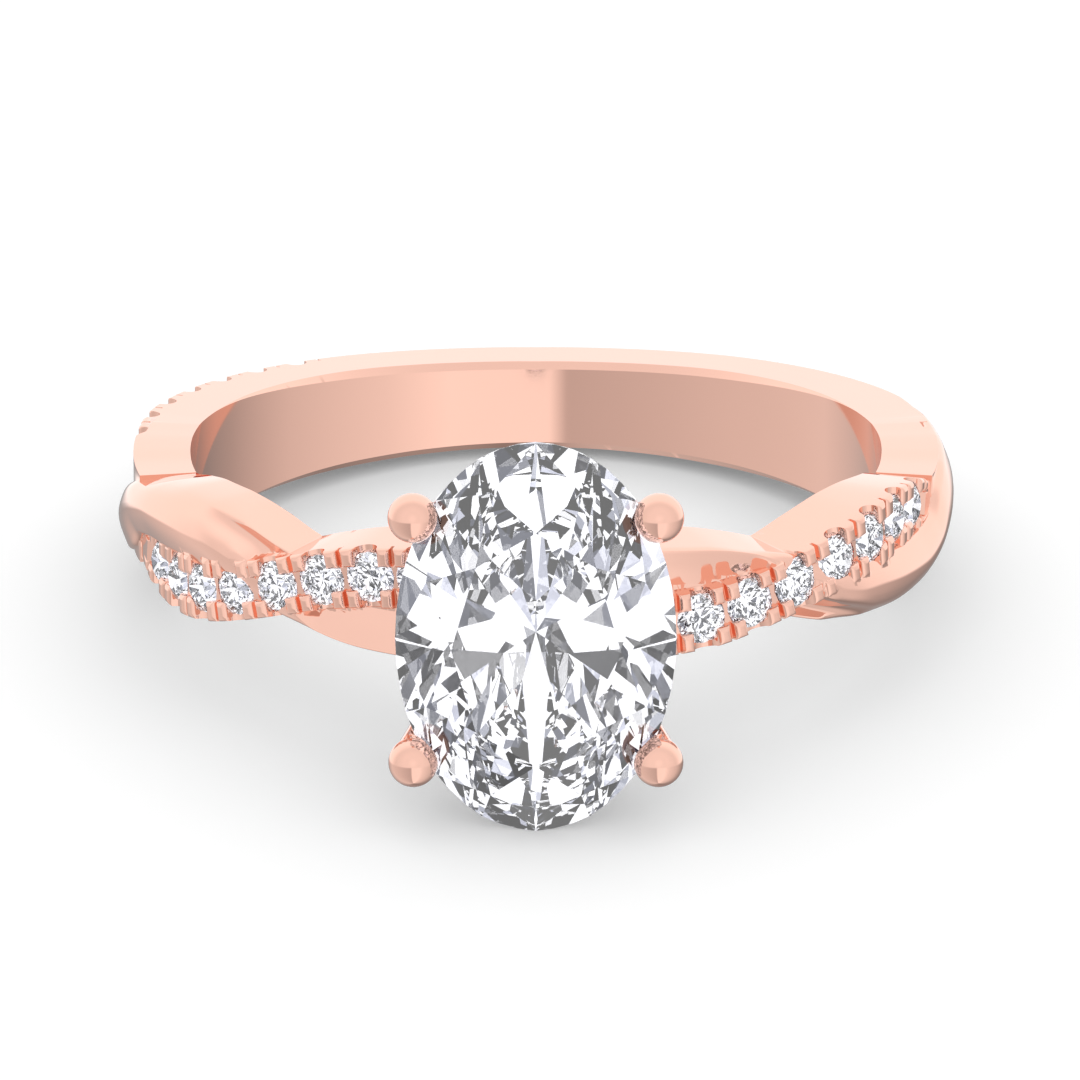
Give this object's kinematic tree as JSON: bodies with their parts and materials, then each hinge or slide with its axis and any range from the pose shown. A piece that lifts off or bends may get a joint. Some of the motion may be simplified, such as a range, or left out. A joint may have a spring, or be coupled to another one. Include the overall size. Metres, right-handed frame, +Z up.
{
  "type": "twisted shank ring with oval stone",
  "caption": "Finger ring whose shank is two twisted strands, one set with small round stones, with a four-prong oval stone on the head.",
  "frame": {"origin": "centre of the bounding box's bottom face, on the surface that the ring lies on", "axes": "+Z up, -Y from the ring's middle towards the head with the oval stone, +X to the right of someone who looks at the head"},
  "size_m": [0.0206, 0.024, 0.0094],
  "materials": {
    "rose_gold": "high polish rose gold",
    "diamond": "clear faceted stone, polished"
  },
  "bodies": {
    "root": {"ring_mount": "rose_gold", "center_stone": "diamond", "row_stone_01": "diamond", "row_stone_02": "diamond", "row_stone_03": "diamond", "row_stone_04": "diamond", "row_stone_05": "diamond", "row_stone_06": "diamond", "row_stone_07": "diamond", "row_stone_08": "diamond", "row_stone_09": "diamond", "row_stone_10": "diamond", "row_stone_11": "diamond", "row_stone_12": "diamond", "row_stone_13": "diamond", "row_stone_14": "diamond", "row_stone_15": "diamond", "row_stone_16": "diamond", "row_stone_17": "diamond", "row_stone_18": "diamond", "row_stone_19": "diamond", "row_stone_20": "diamond", "row_stone_21": "diamond", "row_stone_22": "diamond", "row_stone_23": "diamond", "row_stone_24": "diamond", "row_stone_25": "diamond", "row_stone_26": "diamond", "row_stone_27": "diamond", "row_stone_28": "diamond", "row_stone_29": "diamond", "row_stone_30": "diamond"}
  },
  "joints": []
}
